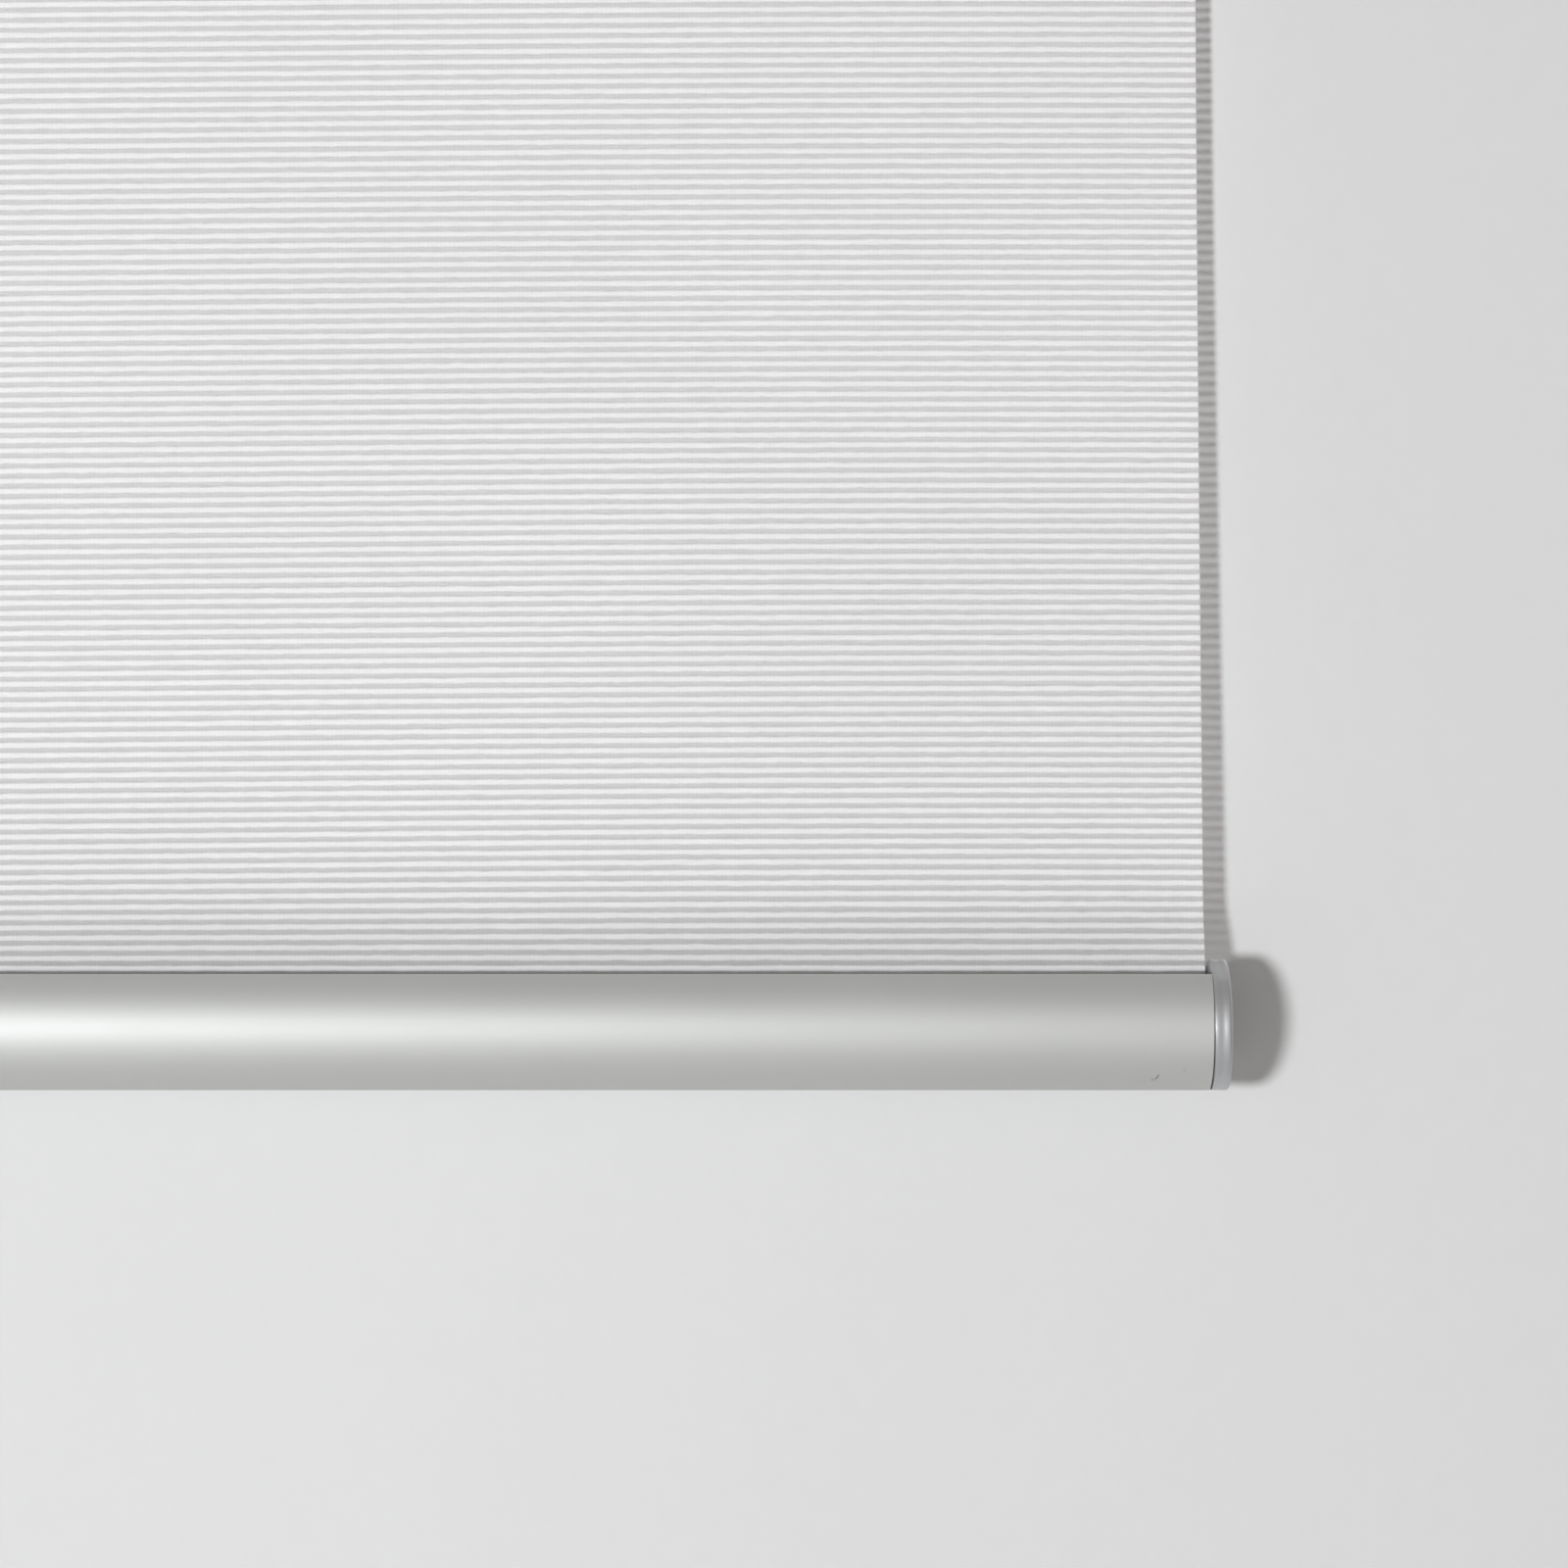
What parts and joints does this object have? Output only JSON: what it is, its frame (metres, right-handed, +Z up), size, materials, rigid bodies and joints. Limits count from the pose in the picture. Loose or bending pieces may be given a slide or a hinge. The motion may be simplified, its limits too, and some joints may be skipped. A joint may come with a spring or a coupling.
{
  "type": "roller blind",
  "caption": "Spring roller blind with ribbed white cloth, a round aluminium bottom bar with silver end caps, and wall brackets.",
  "frame": {"origin": "on the wall plane, midway between the two brackets and level with the roller's axis", "axes": "+X to the right seen from the room, +Y into the wall, +Z up"},
  "size_m": [0.648, 0.0838, 1.0261],
  "materials": {
    "satin_aluminium": "fine satin, lengthwise",
    "silver_cap": "metallic silver plastic, satin",
    "blind_cloth": "white ribbed weave with uneven yarn and thinner bands between the ribs",
    "tube_aluminium": "mill finish, drawn lengthwise",
    "white_plastic": "moulded, fine texture",
    "plated_steel": "zinc plated",
    "spring_steel": "oiled dark steel",
    "brass": "pressed, plain",
    "bracket_paint": "white powder coat"
  },
  "bodies": {
    "wall": {"bracket_left": "bracket_paint", "bracket_right": "bracket_paint", "bracket_cover_left": "white_plastic", "bracket_cover_right": "white_plastic", "screw_left_upper": "plated_steel", "screw_left_lower": "plated_steel", "screw_right_upper": "plated_steel", "screw_right_lower": "plated_steel", "spindle": "plated_steel", "ratchet_wheel": "plated_steel", "spring_anchor": "white_plastic", "spindle_clip": "spring_steel", "fabric_sheet": "blind_cloth"},
    "roller": {"roller_tube": "tube_aluminium", "tube_spline": "white_plastic", "fabric_wrap": "blind_cloth", "spring_end_crown": "white_plastic", "pawl_pin_a": "plated_steel", "pawl_pin_b": "plated_steel", "ratchet_cover": "plated_steel", "lift_spring": "spring_steel", "spring_carrier": "white_plastic", "spindle_bush": "white_plastic", "idle_end_plug": "white_plastic", "idle_bush": "brass", "idle_pin_spring": "spring_steel"},
    "bottom_bar": {"bottom_bar": "satin_aluminium", "bottom_spline": "white_plastic", "bar_cap_left": "silver_cap", "bar_cap_right": "silver_cap"},
    "pawl_a": {"pawl_a": "brass"},
    "pawl_b": {"pawl_b": "brass"},
    "idle_pin": {"idle_pin": "plated_steel"}
  },
  "joints": [
    {"name": "bar_travel", "type": "slide", "parent": "wall", "child": "bottom_bar", "axis": [0, 0, 1], "range_m": [0, 0.944], "deforming": ["fabric_sheet"]},
    {"name": "roller_turn", "type": "hinge", "parent": "wall", "child": "roller", "pos_m": [0, -0.03, 0], "axis": [1, 0, 0], "range_deg": [0, 2700], "deforming": ["lift_spring"]},
    {"name": "pawl_a_swing", "type": "hinge", "parent": "roller", "child": "pawl_a", "pos_m": [-0.3, -0.03919, 0.00919], "axis": [1, 0, 0], "range_deg": [-20, 0]},
    {"name": "pawl_b_swing", "type": "hinge", "parent": "roller", "child": "pawl_b", "pos_m": [-0.3, -0.02081, -0.00919], "axis": [1, 0, 0], "range_deg": [-20, 0]},
    {"name": "idle_pin_slide", "type": "slide", "parent": "roller", "child": "idle_pin", "axis": [-1, 0, 0], "range_m": [0, 0.007], "stiffness_N_per_m": 400, "springref_m": -0.01, "deforming": ["idle_pin_spring"]}
  ],
  "couplings": [
    {"joint": "roller_turn", "follows": "bar_travel", "rad_per_m": 49.919}
  ]
}
